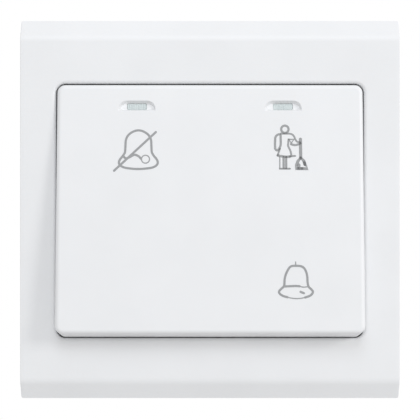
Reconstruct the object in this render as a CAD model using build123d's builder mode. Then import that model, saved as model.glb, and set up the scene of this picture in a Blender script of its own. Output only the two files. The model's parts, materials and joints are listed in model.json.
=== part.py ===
from build123d import *
from math import atan2, cos, degrees, pi, radians, sin, sqrt, tan
import os

# Doorbell push with two indicator windows: a square plate for the wall and a wide rocker that is
# pressed at its lower end. Behind the rocker stand the bell contact and the indicator lights.
# X runs to the right, Y into the wall and Z up, in millimetres. The origin is on the wall, midway
# between the two wall screws. A height is measured from the wall towards the room, so what lies
# inside the wall box has a negative height.

# Surround
plate_size = 86.0
plate_depth = 9.0
plate_wall = 2.0
plate_corner = 1.5
plate_edge = 0.8
bevel_height = 4.1
bevel_drop = 2.2
bevel_blend = 3.0
window_edge = 0.8
collar_wall = 1.6
collar_depth = 5.0
stiffener = 1.2
stiffener_spread = 24.0
pry_notch_width = 8.0
pry_notch_height = 1.2

# Snap arms of the surround and their catch windows in the support frame
snap_spread = 44.0
snap_width = 5.0
snap_wall = 1.2
snap_gap = 0.5
snap_bite = 0.4
snap_foot_height = 1.9
catch_height = 3.8
catch_opening = 1.6
catch_play = 0.2
catch_side_play = 0.5

# Rocker cover
rocker_width = 69.1
rocker_height = 56.3
rocker_corner = 1.8
rocker_edge = 1.0
rocker_wall = 1.6
rocker_inner_corner = 0.8
rocker_drop = 0.3
face_height = 5.7
face_thickness = 1.7
skirt_top_depth = 6.0
skirt_bottom_depth = 7.0
side_gap = 0.35
top_gap = 0.3
foot_gap = 0.8
cap_rib = 1.2
cap_rib_height = 1.8
cap_rib_spread = 58.0
cap_rib_inset = 1.5

# Rocker motion, in degrees
rest_tilt = 5.5
press_angle = 4.5

# Hinge
hinge_setback = 2.5
hinge_stand = 1.7
pin_radius = 1.15
pin_fit = 0.05
pin_end_chamfer = 0.3
ear_radius = 2.0
ear_thickness = 2.0
arm_radius = 2.6
arm_thickness = 1.6
arm_gap = 0.4

# Rocker carrier
carrier_inset = 5.0
carrier_drop = 1.0
carrier_thickness = 1.5
carrier_gap = 0.1
carrier_corner = 2.0
carrier_hole_width = 12.0
carrier_hole_height = 11.0
carrier_hole_spread = 20.0
carrier_hole_row = 8.5
hook_width = 4.0
hook_wall = 1.3
hook_bite = 0.6
hook_length = 1.2
hook_low_inset = 5.0
hook_high_inset = 7.0

# Indicator windows: a scoop in the rocker's face that gets shallower downwards, with a lens in the
# middle of its floor
indicator_spread = 33.0
indicator_inset = 4.85
scoop_width = 8.4
scoop_height = 2.3
scoop_corner = 1.9
scoop_foot = 0.65
scoop_slant = 8.0
scoop_taper = 25.0
lens_width = 4.4
lens_height = 1.4
lens_corner = 0.3
lens_drop = 0.1
lens_fit = 0.05
lens_recess = 0.1
lens_flange = 0.6
lens_flange_thickness = 0.5

# Support frame
frame_clearance = 2.0
frame_thickness = 1.5
frame_corner = 3.0
upstand_inset = 0.6
upstand_wall = 1.5
upstand_height = 4.0
fixing_spacing = 60.3
slot_radius = 2.25
slot_length = 7.5
frame_rib_height = 1.0
frame_rib_row = 20.0

# Housing: the cover in front of the support frame and the base behind it
housing_width = 44.0
housing_over_indicators = 2.0
housing_corner = 2.0
housing_fit = 0.5
cover_wall = 1.2
cover_roof = 1.5
flange_overlap = 2.5
flange_thickness = 1.5
base_wall = 1.6
base_rim_overlap = 2.0
base_rim_thickness = 2.0
base_depth = 15.0
base_floor = 2.0
column_radius = 2.4
boss_radius = 2.2
housing_screw_inset = 2.7
housing_screw_gap = 1.1

# Bell contact
plunger_row = 14.0
nose_radius = 1.0
nose_width = 6.0
plunger_width = 5.0
plunger_height = 4.0
plunger_fit = 0.05
plunger_gap = 0.05
sleeve_wall = 1.5
sleeve_length = 6.75
collar_width = 9.0
collar_height = 7.0
collar_thickness = 1.65
post_radius = 1.45
post_length = 3.9
bridge_width = 20.0
bridge_height = 4.0
strip_thickness = 0.6
tip_spread = 16.0
tip_radius = 1.5
tip_thickness = 0.6
contact_gap_left = 0.05
leg_width = 4.0
leg_fit = 0.15
seat_margin = 0.2
bend_radius = 0.9
anvil_width = 3.5
anvil_height = 2.5

# Springs
wire_radius = 0.2
return_spring_radius = 2.1
return_spring_turns = 6
return_spring_spread = 24.0
return_spring_row = 12.0
plunger_spring_radius = 1.9
plunger_spring_turns = 6
spring_seat_gap = 0.05
cup_wall = 0.8
cup_floor = 1.0
cup_depth = 3.3
spring_play = 0.3
spigot_radius = 1.4
spigot_height = 1.2
seat_ring_height = 3.5

# Stops for the rocker carrier
stop_width = 3.0
stop_height = 1.5
rest_stop_spread = 28.0
rest_stop_inset = 1.0
press_stop_spread = 34.0
press_stop_inset = 1.5
stop_gap = 0.05

# Terminals
bell_terminal_spread = 16.0
feed_terminal_pitch = 13.0
terminal_inset = 8.0
block_width = 6.0
block_height = 8.0
block_depth = 7.0
block_chamfer = 0.3
block_fit = 0.15
block_sink = 1.0
partition = 1.0
wire_bore_radius = 1.6
wire_bore_shift = 1.4
leg_shift = 2.0
pin_width = 1.2
pin_thickness = 0.8
bank_width = 40.0
bank_wall = 1.85
bank_inset = 0.5

# Screws
clamp_screw_radius = 1.25
clamp_head_radius = 1.9
clamp_head_height = 2.2
clamp_screw_gap = 0.1
screw_fit = 0.05
screw_access_fit = 0.2
screw_slot_width = 0.5
screw_slot_depth = 0.7
housing_screw_radius = 0.95
housing_screw_end_gap = 0.8
housing_head_radius = 1.9
housing_head_height = 1.2
column_fit = 0.15

# Indicator board
board_thickness = 1.2
board_height_off_wall = 1.0
board_reach = 3.4
board_edge_gap = 0.2
board_side_gap = 0.8
led_width = 3.0
led_height = 1.2
led_thickness = 0.8
led_drop = 0.5
guide_width = 4.8
guide_height = 1.4
guide_fit = 0.05
guide_collar = 0.5
guide_collar_thickness = 0.6
guide_lens_gap = 0.3
rest_post_spread = 13.0
rest_post_size = 2.0
resistor_radius = 1.1
resistor_length = 6.0
resistor_wall_gap = 0.7
diode_radius = 0.9
diode_length = 4.0
diode_shift = 1.1
component_spread = 26.0
lead_radius = 0.25
lead_reach = 1.4
lead_bend = 0.6
component_gap = 0.2

# Places that follow from the sizes above
half_plate = plate_size / 2
tilt = radians(rest_tilt)
pressed_tilt = radians(rest_tilt - press_angle)
hinge_height = plate_depth - hinge_setback
window_width = rocker_width + 2 * side_gap
rocker_rise = hinge_setback * tan(tilt)
window_top = (rocker_height / 2 - rocker_drop) / cos(tilt) + rocker_rise + top_gap
window_foot = rocker_rise - (rocker_height / 2 + rocker_drop) / cos(tilt) - foot_gap
window_height = window_top - window_foot
window_middle = (window_top + window_foot) / 2
window_corner = rocker_corner + side_gap
ceiling = plate_depth - plate_wall
indicator_row = rocker_height / 2 - rocker_drop - indicator_inset
housing_height = 2 * (indicator_row + housing_over_indicators)
face_inside = face_height - face_thickness
carrier_front = face_inside - carrier_gap
carrier_back = carrier_front - carrier_thickness
carrier_width = housing_width + 2 * (arm_gap + arm_thickness)
carrier_height = housing_height - 2 * carrier_inset
carrier_top_row = carrier_height / 2 - carrier_drop
carrier_bottom_row = -carrier_height / 2 - carrier_drop
hook_rows = (carrier_bottom_row + hook_low_inset, carrier_top_row - hook_high_inset)
rest_stop_row = carrier_top_row - rest_stop_inset
press_stop_row = carrier_bottom_row + press_stop_inset
lens_row = indicator_row - lens_drop
lens_back = face_inside - lens_flange_thickness
frame_size = plate_size - 2 * (plate_wall + frame_clearance)
upstand_size = frame_size - 2 * upstand_inset
upstand_front = frame_thickness + upstand_height
cover_front = hinge_height - hinge_stand
cover_inside = cover_front - cover_roof
floor_height = -(base_depth - base_floor)
block_front = floor_height - partition
block_back = block_front - block_depth
bank_back = block_back - block_sink
screw_level = (block_front + block_back) / 2
terminal_row = housing_height / 2 - terminal_inset
leg_row = terminal_row + leg_shift
bank_inner_row = terminal_row - block_height / 2 - block_fit - bank_wall
housing_screw_spread = housing_width - 2 * housing_screw_inset
housing_screw_row = bank_inner_row - housing_head_radius - housing_screw_gap
nose_tip = hinge_height + nose_radius * (cos(tilt) - 1) + plunger_row * sin(tilt)
nose_tip_pressed = hinge_height + nose_radius * (cos(pressed_tilt) - 1) + plunger_row * sin(pressed_tilt)
plunger_travel = nose_tip - nose_tip_pressed
plunger_head = nose_tip - plunger_gap
sleeve_end = cover_front - sleeve_length
collar_front = sleeve_end - plunger_gap
bridge_front = collar_front - collar_thickness
bridge_back = bridge_front - strip_thickness
moving_tip_back = bridge_back - tip_thickness
fixed_tip_front = moving_tip_back - plunger_travel - contact_gap_left
seat_front = fixed_tip_front - tip_thickness
seat_back = seat_front - strip_thickness
seat_end_row = plunger_row - tip_radius - seat_margin
guide_row = lens_row * cos(tilt) + face_inside * sin(tilt)
board_front = board_height_off_wall + board_thickness
board_top_row = housing_height / 2 - cover_wall - board_edge_gap
board_bottom_row = terminal_row - board_reach
resistor_row = housing_height / 2 - base_wall - resistor_wall_gap - resistor_radius
diode_row = terminal_row - diode_shift
board_width = housing_width - 2 * (cover_wall + board_side_gap)
feed_places = (-feed_terminal_pitch, 0.0, feed_terminal_pitch)
bell_places = (-bell_terminal_spread / 2, bell_terminal_spread / 2)
face_axis = Axis((0, -hinge_height, 0), (0, -cos(tilt), sin(tilt)))


def wall_plane(height):
    """A plane parallel to the wall at this height, facing the room, with x to the right and y up."""
    return Plane.XZ.offset(height)


def side_plane(across=0.0):
    """A plane square to X that faces left, with x towards the room and y up."""
    return Plane(origin=(across, 0, 0), x_dir=(0, -1, 0), z_dir=(-1, 0, 0))


def rocker_plane(height):
    """A plane parallel to the resting rocker's face, this far in front of the hinge axis."""
    facing = (0, -cos(tilt), sin(tilt))
    return Plane(origin=(0, -hinge_height, 0), x_dir=(1, 0, 0), z_dir=facing).offset(height)


def rocker_side_plane(across=0.0):
    """A plane square to X through the hinge axis, with x out of the rocker's face and y up it."""
    facing = (0, -cos(tilt), sin(tilt))
    return Plane(origin=(across, -hinge_height, 0), x_dir=facing, z_dir=(-1, 0, 0))


def rocker_level_plane(up):
    """A plane across the rocker, this far up its face, with x to the right and y out of the face."""
    place = (0, up * sin(tilt) - hinge_height, up * cos(tilt))
    return Plane(origin=place, x_dir=(1, 0, 0), z_dir=(0, -sin(tilt), -cos(tilt)))


def carrier_underside(row, angle):
    """Height over the wall of the carrier's back face at this world height, for a tilt in radians."""
    up = (row - carrier_back * sin(angle)) / cos(angle)
    return hinge_height + carrier_back * cos(angle) - up * sin(angle)


def scoop_floor(below=0.0):
    """The plane of the floor of the window scoops, or one that lies this far below it."""
    lower_edge = (0, indicator_row - scoop_height / 2, 0)
    foot = rocker_plane(face_height - scoop_foot).from_local_coords(lower_edge)
    slant = tilt + radians(scoop_slant)
    return Plane(origin=foot, x_dir=(1, 0, 0), z_dir=(0, -cos(slant), sin(slant))).offset(-below)


def save(builder, name):
    """Label a finished piece and write it as its own STEP file."""
    builder.part.label = name
    export_step(builder.part, f"parts/{name}.step")


os.makedirs("parts", exist_ok=True)

# Surround: bevelled along its top and bottom edges, hollow behind, with a collar round the window
with BuildPart() as surround_frame:
    with BuildSketch(side_plane()) as plate_profile:
        with BuildLine():
            Polyline(
                (-plate_depth, -half_plate),
                (plate_depth - bevel_drop, -half_plate),
                (plate_depth, bevel_height - half_plate),
                (plate_depth, half_plate - bevel_height),
                (plate_depth - bevel_drop, half_plate),
                (-plate_depth, half_plate),
                close=True,
            )
        make_face()
    extrude(amount=half_plate, both=True)
    with BuildSketch(wall_plane(0)):
        RectangleRounded(plate_size, plate_size, plate_corner)
    extrude(amount=plate_depth, mode=Mode.INTERSECT)
    bevel_lines = surround_frame.edges().filter_by(Axis.X).group_by(Axis.Y)[0]
    fillet(bevel_lines, radius=bevel_blend)
    outer_rim = surround_frame.edges().filter_by(
        lambda edge: -edge.center().Y > plate_depth / 2
        and max(abs(edge.center().X), abs(edge.center().Z)) > half_plate - plate_corner
    )
    fillet(outer_rim, radius=plate_edge)
    with BuildSketch(side_plane()):
        add(plate_profile.sketch_local)
        offset(amount=-plate_wall, kind=Kind.INTERSECTION)
    extrude(amount=half_plate - plate_wall, both=True, mode=Mode.SUBTRACT)
    with BuildSketch(wall_plane(ceiling)):
        with Locations((0, window_middle)):
            collar_size = (window_width + 2 * collar_wall, window_height + 2 * collar_wall)
            RectangleRounded(*collar_size, window_corner + collar_wall)
    extrude(amount=plate_wall - collar_depth)
    rib_back = upstand_front + catch_play
    rib_reach = half_plate - plate_wall / 2
    with BuildSketch(wall_plane(rib_back)):
        with Locations((-stiffener_spread / 2, 0), (stiffener_spread / 2, 0)):
            Rectangle(stiffener, 2 * rib_reach)
        with Locations((0, -stiffener_spread / 2), (0, stiffener_spread / 2)):
            Rectangle(2 * rib_reach, stiffener)
    extrude(amount=ceiling - rib_back)
    with BuildSketch(wall_plane(plate_depth)):
        with Locations((0, window_middle)):
            RectangleRounded(window_width, window_height, window_corner)
    extrude(amount=-plate_depth, mode=Mode.SUBTRACT)
    window_rim = surround_frame.edges().group_by(Axis.Y)[0].filter_by(
        lambda edge: abs(edge.center().X) < window_width / 2 + side_gap
        and abs(edge.center().Z - window_middle) < window_height / 2 + foot_gap
    )
    fillet(window_rim, radius=window_edge)
    arm_inner = upstand_size / 2 + snap_gap
    arm_outer = arm_inner + snap_wall
    barb_tip = upstand_size / 2 - snap_bite
    barb_front = catch_height - catch_play
    for across in (-snap_spread / 2, snap_spread / 2):
        with BuildSketch(side_plane(across)):
            with BuildLine():
                Polyline(
                    (ceiling, arm_outer),
                    (snap_foot_height, arm_outer),
                    (snap_foot_height, arm_inner),
                    (barb_front - snap_bite, barb_tip),
                    (barb_front, barb_tip),
                    (barb_front, arm_inner),
                    (ceiling, arm_inner),
                    close=True,
                )
            make_face()
            mirror(about=Plane.XZ)
        extrude(amount=snap_width / 2, both=True)
    with BuildSketch(wall_plane(0)):
        with Locations((0, plate_wall / 2 - half_plate)):
            Rectangle(pry_notch_width, 2 * plate_wall)
    extrude(amount=pry_notch_height, mode=Mode.SUBTRACT)
save(surround_frame, "surround_frame")

# Support frame: held by the two wall screws, with an upstand that the surround snaps over
with BuildPart() as support_frame:
    with BuildSketch(wall_plane(0)):
        RectangleRounded(frame_size, frame_size, frame_corner)
    extrude(amount=frame_thickness)
    with BuildSketch(wall_plane(frame_thickness)):
        RectangleRounded(upstand_size, upstand_size, frame_corner - upstand_inset)
        offset(amount=-upstand_wall, mode=Mode.SUBTRACT)
    extrude(amount=upstand_height)
    with BuildSketch(wall_plane(frame_thickness)):
        rib_span = upstand_size / 2 - upstand_wall / 2
        flange_edge = housing_width / 2 + flange_overlap + housing_fit
        rib_places = [
            (side * (rib_span + flange_edge) / 2, end * frame_rib_row)
            for side in (-1, 1)
            for end in (-1, 1)
        ]
        with Locations(*rib_places):
            Rectangle(rib_span - flange_edge, stiffener)
    extrude(amount=frame_rib_height)
    with BuildSketch(wall_plane(0)):
        opening = (housing_width + 2 * housing_fit, housing_height + 2 * housing_fit)
        RectangleRounded(*opening, housing_corner + housing_fit)
        with Locations((-fixing_spacing / 2, 0), (fixing_spacing / 2, 0)):
            SlotOverall(slot_length, 2 * slot_radius)
    extrude(amount=frame_thickness, mode=Mode.SUBTRACT)
    catch_middle = catch_height - catch_opening / 2
    for across in (-snap_spread / 2, snap_spread / 2):
        with BuildSketch(side_plane(across)):
            with Locations((catch_middle, 0)):
                Rectangle(catch_opening, frame_size)
        catch_half_width = snap_width / 2 + catch_side_play
        extrude(amount=catch_half_width, both=True, mode=Mode.SUBTRACT)
save(support_frame, "support_frame")

# Mechanism cover: carries the hinge ears, the stops, the spring cups and the plunger's sleeve
with BuildPart() as mechanism_cover:
    with BuildSketch(wall_plane(0)):
        RectangleRounded(housing_width, housing_height, housing_corner)
    extrude(amount=cover_front)
    fillet(mechanism_cover.faces().sort_by(Axis.Y)[0].edges(), radius=cover_wall / 2)
    with BuildSketch(wall_plane(frame_thickness)):
        flange_size = (housing_width + 2 * flange_overlap, housing_height + 2 * flange_overlap)
        RectangleRounded(*flange_size, housing_corner + flange_overlap)
    extrude(amount=flange_thickness)
    with BuildSketch(wall_plane(0)):
        cavity = (housing_width - 2 * cover_wall, housing_height - 2 * cover_wall)
        RectangleRounded(*cavity, housing_corner - cover_wall)
    extrude(amount=cover_inside, mode=Mode.SUBTRACT)
    with BuildSketch(wall_plane(0)):
        with GridLocations(housing_screw_spread, 2 * housing_screw_row, 2, 2):
            Circle(boss_radius)
    extrude(amount=cover_inside)
    with BuildSketch(wall_plane(0)):
        with GridLocations(housing_screw_spread, 2 * housing_screw_row, 2, 2):
            Circle(housing_screw_radius + screw_fit)
    extrude(amount=cover_inside, mode=Mode.SUBTRACT)
    cup_radius = return_spring_radius + wire_radius + spring_play
    with BuildSketch(wall_plane(cover_front - cup_depth - cup_floor)):
        with Locations(*[(side * return_spring_spread / 2, -return_spring_row) for side in (-1, 1)]):
            Circle(cup_radius + cup_wall)
    extrude(amount=cup_depth)
    with BuildSketch(wall_plane(cover_front)):
        with Locations(*[(side * return_spring_spread / 2, -return_spring_row) for side in (-1, 1)]):
            Circle(cup_radius)
    extrude(amount=-cup_depth, mode=Mode.SUBTRACT)
    with BuildSketch(wall_plane(sleeve_end)):
        with Locations((0, -plunger_row)):
            Rectangle(plunger_width + 2 * sleeve_wall, plunger_height + 2 * sleeve_wall)
    extrude(amount=cover_inside - sleeve_end)
    with BuildSketch(wall_plane(sleeve_end)):
        with Locations((0, -plunger_row)):
            Rectangle(plunger_width + 2 * plunger_fit, plunger_height + 2 * plunger_fit)
    extrude(amount=sleeve_length, mode=Mode.SUBTRACT)
    with BuildSketch(wall_plane(cover_inside)):
        with Locations((-indicator_spread / 2, guide_row), (indicator_spread / 2, guide_row)):
            Rectangle(guide_width + 2 * guide_fit, guide_height + 2 * guide_fit)
    extrude(amount=cover_roof, mode=Mode.SUBTRACT)
    with BuildSketch(wall_plane(board_front)):
        with Locations(*[(side * rest_post_spread / 2, terminal_row) for side in (-1, 1)]):
            Rectangle(rest_post_size, rest_post_size)
    extrude(amount=cover_inside - board_front)
    for ear_outside in (housing_width / 2, ear_thickness - housing_width / 2):
        with BuildSketch(side_plane(ear_outside)):
            with Locations((hinge_height, 0)):
                Circle(ear_radius)
            with Locations((hinge_height - hinge_stand / 2 - cover_wall / 2, 0)):
                Rectangle(hinge_stand + cover_wall, 2 * ear_radius)
            with Locations((hinge_height, 0)):
                Circle(pin_radius + pin_fit, mode=Mode.SUBTRACT)
        extrude(amount=ear_thickness)
    rest_stop_top = carrier_underside(rest_stop_row + stop_height / 2, tilt) - stop_gap
    with BuildSketch(wall_plane(cover_front)):
        with Locations(*[(side * rest_stop_spread / 2, rest_stop_row) for side in (-1, 1)]):
            Rectangle(stop_width, stop_height)
    extrude(amount=rest_stop_top - cover_front)
    press_stop_top = carrier_underside(press_stop_row + stop_height / 2, pressed_tilt) - stop_gap
    with BuildSketch(wall_plane(cover_front)):
        with Locations(*[(side * press_stop_spread / 2, press_stop_row) for side in (-1, 1)]):
            Rectangle(stop_width, stop_height)
    extrude(amount=press_stop_top - cover_front)
save(mechanism_cover, "mechanism_cover")

# Mechanism base: clamps the support frame from behind and holds the terminal blocks
with BuildPart() as mechanism_base:
    with BuildSketch(wall_plane(0)):
        rim_size = (housing_width + 2 * base_rim_overlap, housing_height + 2 * base_rim_overlap)
        RectangleRounded(*rim_size, housing_corner + base_rim_overlap)
    extrude(amount=-base_rim_thickness)
    with BuildSketch(wall_plane(0)):
        RectangleRounded(housing_width, housing_height, housing_corner)
    extrude(amount=-base_depth)
    bank_outer_row = housing_height / 2 - bank_inset
    bank_middle = (bank_inner_row + bank_outer_row) / 2
    with BuildSketch(wall_plane(bank_back)):
        with Locations((0, -bank_middle), (0, bank_middle)):
            RectangleRounded(bank_width, bank_outer_row - bank_inner_row, housing_corner)
    extrude(amount=-bank_back - base_floor)
    with BuildSketch(wall_plane(0)):
        hollow = (housing_width - 2 * base_wall, housing_height - 2 * base_wall)
        RectangleRounded(*hollow, housing_corner / 2)
    extrude(amount=floor_height, mode=Mode.SUBTRACT)
    with BuildSketch(wall_plane(floor_height)):
        with GridLocations(housing_screw_spread, 2 * housing_screw_row, 2, 2):
            Circle(column_radius)
    extrude(amount=-floor_height)
    with BuildSketch(wall_plane(-base_depth)):
        with GridLocations(housing_screw_spread, 2 * housing_screw_row, 2, 2):
            Circle(housing_screw_radius + column_fit)
    extrude(amount=base_depth, mode=Mode.SUBTRACT)
    with BuildSketch(wall_plane(floor_height)):
        with Locations((0, -plunger_row)):
            seat_ring_inside = plunger_spring_radius + wire_radius + spring_play
            Circle(seat_ring_inside + cup_wall)
            Circle(seat_ring_inside, mode=Mode.SUBTRACT)
    extrude(amount=seat_ring_height)
    with BuildSketch(wall_plane(floor_height)):
        with Locations(*[(place, -seat_end_row - anvil_height / 2) for place in bell_places]):
            Rectangle(anvil_width, anvil_height)
    extrude(amount=seat_back - floor_height)
    with BuildSketch(wall_plane(floor_height)):
        with Locations(*[(side * rest_post_spread / 2, terminal_row) for side in (-1, 1)]):
            Rectangle(rest_post_size, rest_post_size)
    extrude(amount=board_height_off_wall - floor_height)
    pocket = (block_width + 2 * block_fit, block_height + 2 * block_fit)
    with BuildSketch(wall_plane(bank_back)):
        with Locations(*[(place, -terminal_row) for place in bell_places]):
            Rectangle(*pocket)
        with Locations(*[(place, terminal_row) for place in feed_places]):
            Rectangle(*pocket)
    extrude(amount=block_front - bank_back, mode=Mode.SUBTRACT)
    with BuildSketch(wall_plane(block_front)):
        with Locations(*[(place, -leg_row) for place in bell_places]):
            Rectangle(leg_width + 2 * leg_fit, strip_thickness + 2 * leg_fit)
        with Locations(*[(place, leg_row) for place in feed_places]):
            Rectangle(pin_width + 2 * leg_fit, pin_thickness + 2 * leg_fit)
    extrude(amount=partition, mode=Mode.SUBTRACT)
    access_radius = clamp_head_radius + screw_access_fit
    with BuildSketch(Plane.XY.offset(terminal_row)):
        with Locations(*[(place, -screw_level) for place in feed_places]):
            Circle(access_radius)
    extrude(amount=housing_height / 2, mode=Mode.SUBTRACT)
    with BuildSketch(Plane.XY.offset(-terminal_row)):
        with Locations(*[(place, -screw_level) for place in bell_places]):
            Circle(access_radius)
    extrude(amount=-housing_height / 2, mode=Mode.SUBTRACT)
save(mechanism_base, "mechanism_base")

# Rocker cover: a shallow cap whose skirt is deeper at the lower end, with hooks for the carrier
window_places = [(-indicator_spread / 2, indicator_row), (indicator_spread / 2, indicator_row)]
lens_places = [(-indicator_spread / 2, lens_row), (indicator_spread / 2, lens_row)]
with BuildPart() as scoops:
    with BuildSketch(rocker_plane(face_height)) as scoop_profile:
        with Locations(*window_places):
            Rectangle(scoop_width, scoop_height)
        fillet(scoop_profile.vertices().group_by(Axis.Y)[-1], radius=scoop_corner)
    extrude(amount=-face_thickness, taper=scoop_taper)
    split(bisect_by=scoop_floor(), keep=Keep.TOP)
with BuildPart() as rocker_cover:
    with BuildSketch(rocker_plane(face_height)):
        with Locations((0, -rocker_drop)):
            RectangleRounded(rocker_width, rocker_height, rocker_corner)
    extrude(amount=-skirt_bottom_depth)
    face_edges = rocker_cover.faces().sort_by(face_axis)[-1].edges()
    fillet(face_edges, radius=rocker_edge)
    cap_inside = (rocker_width - 2 * rocker_wall, rocker_height - 2 * rocker_wall)
    with BuildSketch(rocker_plane(face_inside)):
        with Locations((0, -rocker_drop)):
            RectangleRounded(*cap_inside, rocker_inner_corner)
    extrude(amount=-skirt_bottom_depth, mode=Mode.SUBTRACT)
    with BuildSketch(rocker_plane(face_inside)):
        with Locations((-cap_rib_spread / 2, -rocker_drop), (cap_rib_spread / 2, -rocker_drop)):
            Rectangle(cap_rib, cap_inside[1])
        with Locations((0, -rocker_drop - cap_inside[1] / 2 + cap_rib_inset)):
            Rectangle(cap_rib_spread, cap_rib)
    extrude(amount=-cap_rib_height)
    mean_depth = (skirt_top_depth + skirt_bottom_depth) / 2
    skirt_slant = degrees(atan2(skirt_bottom_depth - skirt_top_depth, rocker_height))
    skirt_plane = rocker_plane(face_height - mean_depth).rotated((skirt_slant, 0, 0))
    split(bisect_by=skirt_plane, keep=Keep.TOP)
    hook_inner = carrier_width / 2 + carrier_gap
    hook_shoulder = carrier_back - carrier_gap
    for row in hook_rows:
        with BuildSketch(rocker_level_plane(row)):
            with BuildLine():
                Polyline(
                    (hook_inner, face_inside),
                    (hook_inner + hook_wall, face_inside),
                    (hook_inner + hook_wall, hook_shoulder - hook_length),
                    (hook_inner, hook_shoulder - hook_length),
                    (hook_inner - hook_bite, hook_shoulder - hook_bite),
                    (hook_inner - hook_bite, hook_shoulder),
                    (hook_inner, hook_shoulder),
                    close=True,
                )
            make_face()
            mirror(about=Plane.YZ)
        extrude(amount=hook_width / 2, both=True)
    add(scoops.part, mode=Mode.SUBTRACT)
    with BuildSketch(rocker_plane(face_inside)):
        with Locations(*lens_places):
            opening = (lens_width + 2 * lens_fit, lens_height + 2 * lens_fit)
            RectangleRounded(*opening, lens_corner + lens_fit)
    extrude(amount=face_thickness, mode=Mode.SUBTRACT)
save(rocker_cover, "rocker_cover")

# Indicator lenses: each ends in the floor of its scoop and has a flange against the inside of the cover
for name, place in zip(("dnd_window", "service_window"), lens_places):
    with BuildPart() as lens:
        with BuildSketch(rocker_plane(face_inside)):
            with Locations(place):
                RectangleRounded(lens_width, lens_height, lens_corner)
        extrude(amount=face_thickness)
        split(bisect_by=scoop_floor(lens_recess), keep=Keep.BOTTOM)
        with BuildSketch(rocker_plane(lens_back)):
            with Locations(place):
                flange_size = (lens_width + 2 * lens_flange, lens_height + 2 * lens_flange)
                RectangleRounded(*flange_size, lens_corner)
        extrude(amount=lens_flange_thickness)
    save(lens, name)

# Rocker carrier: a plate under the cover with two arms whose stub pins turn in the ears
with BuildPart() as rocker_carrier:
    with BuildSketch(rocker_plane(carrier_back)):
        with Locations((0, -carrier_drop)):
            RectangleRounded(carrier_width, carrier_height, carrier_corner)
        hole_places = [(side * carrier_hole_spread / 2, carrier_hole_row) for side in (-1, 1)]
        with Locations(*hole_places):
            RectangleRounded(
                carrier_hole_width, carrier_hole_height, carrier_corner, mode=Mode.SUBTRACT
            )
    extrude(amount=carrier_thickness)
    for arm_outside in (carrier_width / 2, arm_thickness - carrier_width / 2):
        with BuildSketch(rocker_side_plane(arm_outside)):
            Circle(arm_radius)
            with Locations((carrier_front / 2, 0)):
                Rectangle(carrier_front, 2 * arm_radius)
        extrude(amount=arm_thickness)
    pin_length = arm_gap + ear_thickness
    for pin_root in (carrier_width / 2 - arm_thickness, pin_length + arm_thickness - carrier_width / 2):
        with BuildSketch(rocker_side_plane(pin_root)):
            Circle(pin_radius)
        extrude(amount=pin_length)
    pin_ends = rocker_carrier.edges().filter_by(GeomType.CIRCLE).filter_by(
        lambda edge: abs(abs(edge.center().X) - carrier_width / 2 + arm_thickness + pin_length) < pin_fit
    )
    chamfer(pin_ends, length=pin_end_chamfer)
    with BuildSketch(rocker_side_plane()):
        with Locations((nose_radius, -plunger_row)):
            Circle(nose_radius)
        with Locations(((nose_radius + carrier_front) / 2, -plunger_row)):
            Rectangle(carrier_front - nose_radius, 2 * nose_radius)
    extrude(amount=nose_width / 2, both=True)
    with BuildSketch(rocker_plane(carrier_back)):
        with Locations(*[(side * return_spring_spread / 2, -return_spring_row) for side in (-1, 1)]):
            Circle(spigot_radius)
    extrude(amount=-spigot_height)
save(rocker_carrier, "rocker_carrier")

# Bell plunger: its head meets the carrier's nose, its collar rests under the sleeve
with BuildPart() as bell_plunger:
    with BuildSketch(wall_plane(collar_front)):
        with Locations((0, -plunger_row)):
            Rectangle(plunger_width, plunger_height)
    extrude(amount=plunger_head - collar_front)
    chamfer(bell_plunger.faces().sort_by(Axis.Y)[0].edges(), length=strip_thickness / 2)
    with BuildSketch(wall_plane(bridge_front)):
        with Locations((0, -plunger_row)):
            RectangleRounded(collar_width, collar_height, strip_thickness)
    extrude(amount=collar_thickness)
    with BuildSketch(wall_plane(bridge_front)):
        with Locations((0, -plunger_row)):
            Circle(post_radius)
    extrude(amount=-post_length)
    chamfer(bell_plunger.faces().sort_by(Axis.Y)[-1].edges(), length=strip_thickness / 2)
save(bell_plunger, "bell_plunger")

# Contact bridge: a brass strip under the plunger's collar, with a tip at each end
with BuildPart() as contact_bridge:
    with BuildSketch(wall_plane(bridge_back)):
        with Locations((0, -plunger_row)):
            RectangleRounded(bridge_width, bridge_height, tip_radius)
            Circle(post_radius + plunger_fit, mode=Mode.SUBTRACT)
    extrude(amount=strip_thickness)
save(contact_bridge, "contact_bridge")

with BuildPart() as bridge_contact_tips:
    with BuildSketch(wall_plane(moving_tip_back)):
        with Locations(*[(side * tip_spread / 2, -plunger_row) for side in (-1, 1)]):
            Circle(tip_radius)
    extrude(amount=tip_thickness)
save(bridge_contact_tips, "bridge_contact_tips")

with BuildPart() as fixed_contact_tips:
    with BuildSketch(wall_plane(seat_front)):
        with Locations(*[(side * tip_spread / 2, -plunger_row) for side in (-1, 1)]):
            Circle(tip_radius)
    extrude(amount=tip_thickness)
save(fixed_contact_tips, "fixed_contact_tips")

# Fixed contacts: bent strips that stand on the bell terminals and reach under the bridge
for name, place in zip(("fixed_contact_left", "fixed_contact_right"), bell_places):
    with BuildPart() as fixed_contact:
        leg_outer = -leg_row - strip_thickness / 2
        leg_inner = leg_outer + strip_thickness
        with BuildSketch(side_plane(place)) as strip:
            with BuildLine():
                Polyline(
                    (block_front, leg_outer),
                    (seat_front, leg_outer),
                    (seat_front, -seat_end_row),
                    (seat_back, -seat_end_row),
                    (seat_back, leg_inner),
                    (block_front, leg_inner),
                    close=True,
                )
            make_face()
            corners = strip.vertices()
            fillet(corners.sort_by_distance((seat_front, leg_outer))[0], radius=bend_radius)
            inner_corner = strip.vertices().sort_by_distance((seat_back, leg_inner))[0]
            fillet(inner_corner, radius=bend_radius - strip_thickness)
        extrude(amount=leg_width / 2, both=True)
    save(fixed_contact, name)

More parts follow.
